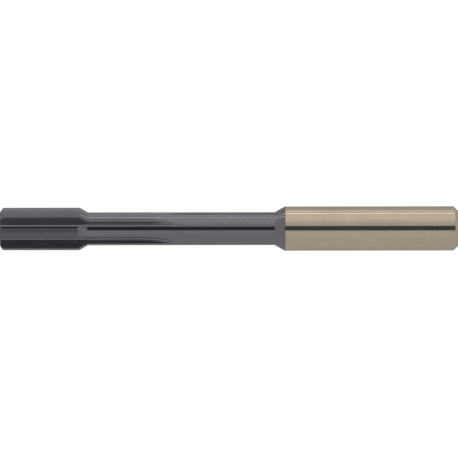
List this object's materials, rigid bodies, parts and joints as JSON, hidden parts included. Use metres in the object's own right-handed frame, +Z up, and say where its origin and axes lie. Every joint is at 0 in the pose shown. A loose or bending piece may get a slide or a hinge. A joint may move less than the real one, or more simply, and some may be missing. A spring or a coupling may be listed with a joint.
{
  "type": "machine reamer",
  "caption": "Solid carbide machine reamer with straight, unequally spaced flutes, a relieved neck and a plain cylindrical shank.",
  "frame": {"origin": "centre of the flat end of the shank", "axes": "+X along the tool towards the shank's end, tip towards -X; +Z up as the tool lies; +Y completes the frame"},
  "size_m": [0.103, 0.01, 0.01],
  "materials": {
    "carbide": "ground solid carbide, bare on the shank, with a dark anthracite hard coating on head and neck"
  },
  "bodies": {
    "root": {"reamer": "carbide"}
  },
  "joints": []
}
